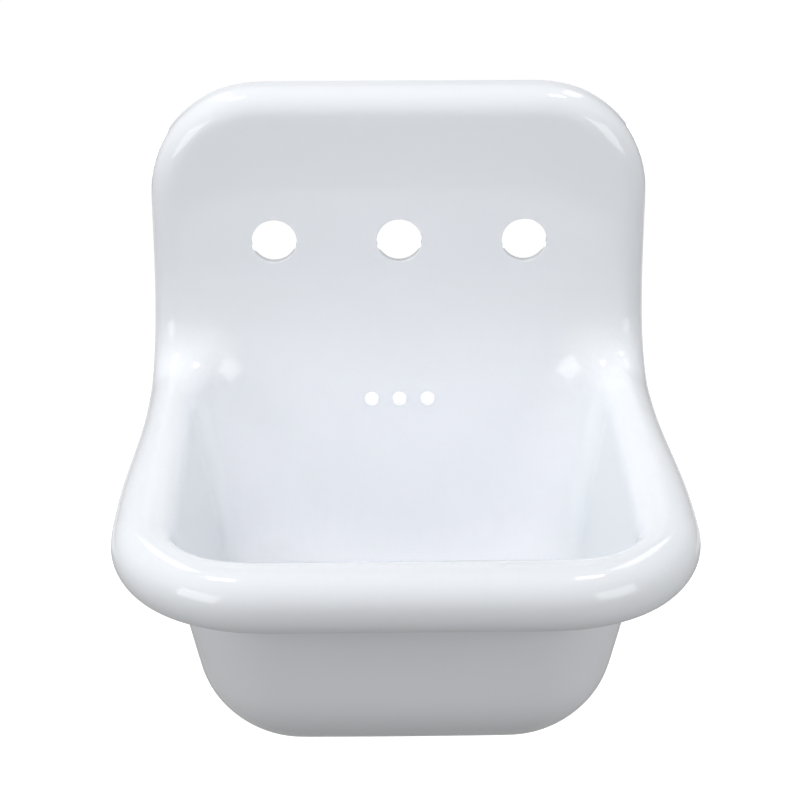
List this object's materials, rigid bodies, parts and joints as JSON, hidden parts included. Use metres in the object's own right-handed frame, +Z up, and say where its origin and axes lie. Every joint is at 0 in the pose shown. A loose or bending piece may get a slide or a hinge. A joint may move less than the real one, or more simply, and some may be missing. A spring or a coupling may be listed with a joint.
{
  "type": "wall-mounted bathroom sink",
  "caption": "Wall-hung enamelled iron sink with a deep bowl, rolled rim and high back with tap holes, hung on a steel bracket, with overflow, waste and push-pull stopper.",
  "frame": {"origin": "middle of the wall bracket's four screw holes, on the wall plane", "axes": "+X to the right seen from the front, +Y into the wall, +Z up; the bowl points to -Y"},
  "size_m": [0.4336, 0.4339, 0.4825],
  "materials": {
    "enamel": "white vitreous enamel on cast iron, glossy inside and on the rim, satin on the rear",
    "plated_steel": "zinc plated sheet",
    "screw_steel": "stainless",
    "rubber": "matt black",
    "fibre": "red vulcanised fibre",
    "milky_plastic": "natural polypropylene",
    "white_plastic": "white polypropylene",
    "grey_plastic": "grey polypropylene",
    "chrome": "polished chrome plate",
    "brass": "turned"
  },
  "bodies": {
    "sink": {"basin": "enamel", "wall_hanger": "plated_steel", "overflow_gasket": "rubber", "overflow_housing": "milky_plastic", "overflow_screws": "screw_steel", "overflow_pipe": "white_plastic", "overflow_nut_top": "grey_plastic", "overflow_ring_top": "rubber", "overflow_nut_bottom": "grey_plastic", "overflow_ring_bottom": "rubber", "waste_flange": "chrome", "waste_flange_seal": "rubber", "waste_tee_seal": "rubber", "waste_tee": "white_plastic", "waste_tee_washer": "fibre", "waste_lock_nut": "brass", "stopper_post": "brass", "stopper_friction_ring": "rubber"},
    "stopper": {"stopper_cap": "chrome", "stopper_seal": "rubber", "stopper_retainer": "brass"}
  },
  "joints": [
    {"name": "stopper_slide", "type": "slide", "parent": "sink", "child": "stopper", "axis": [0, 0, 1], "range_m": [-0.0087, 0]}
  ]
}
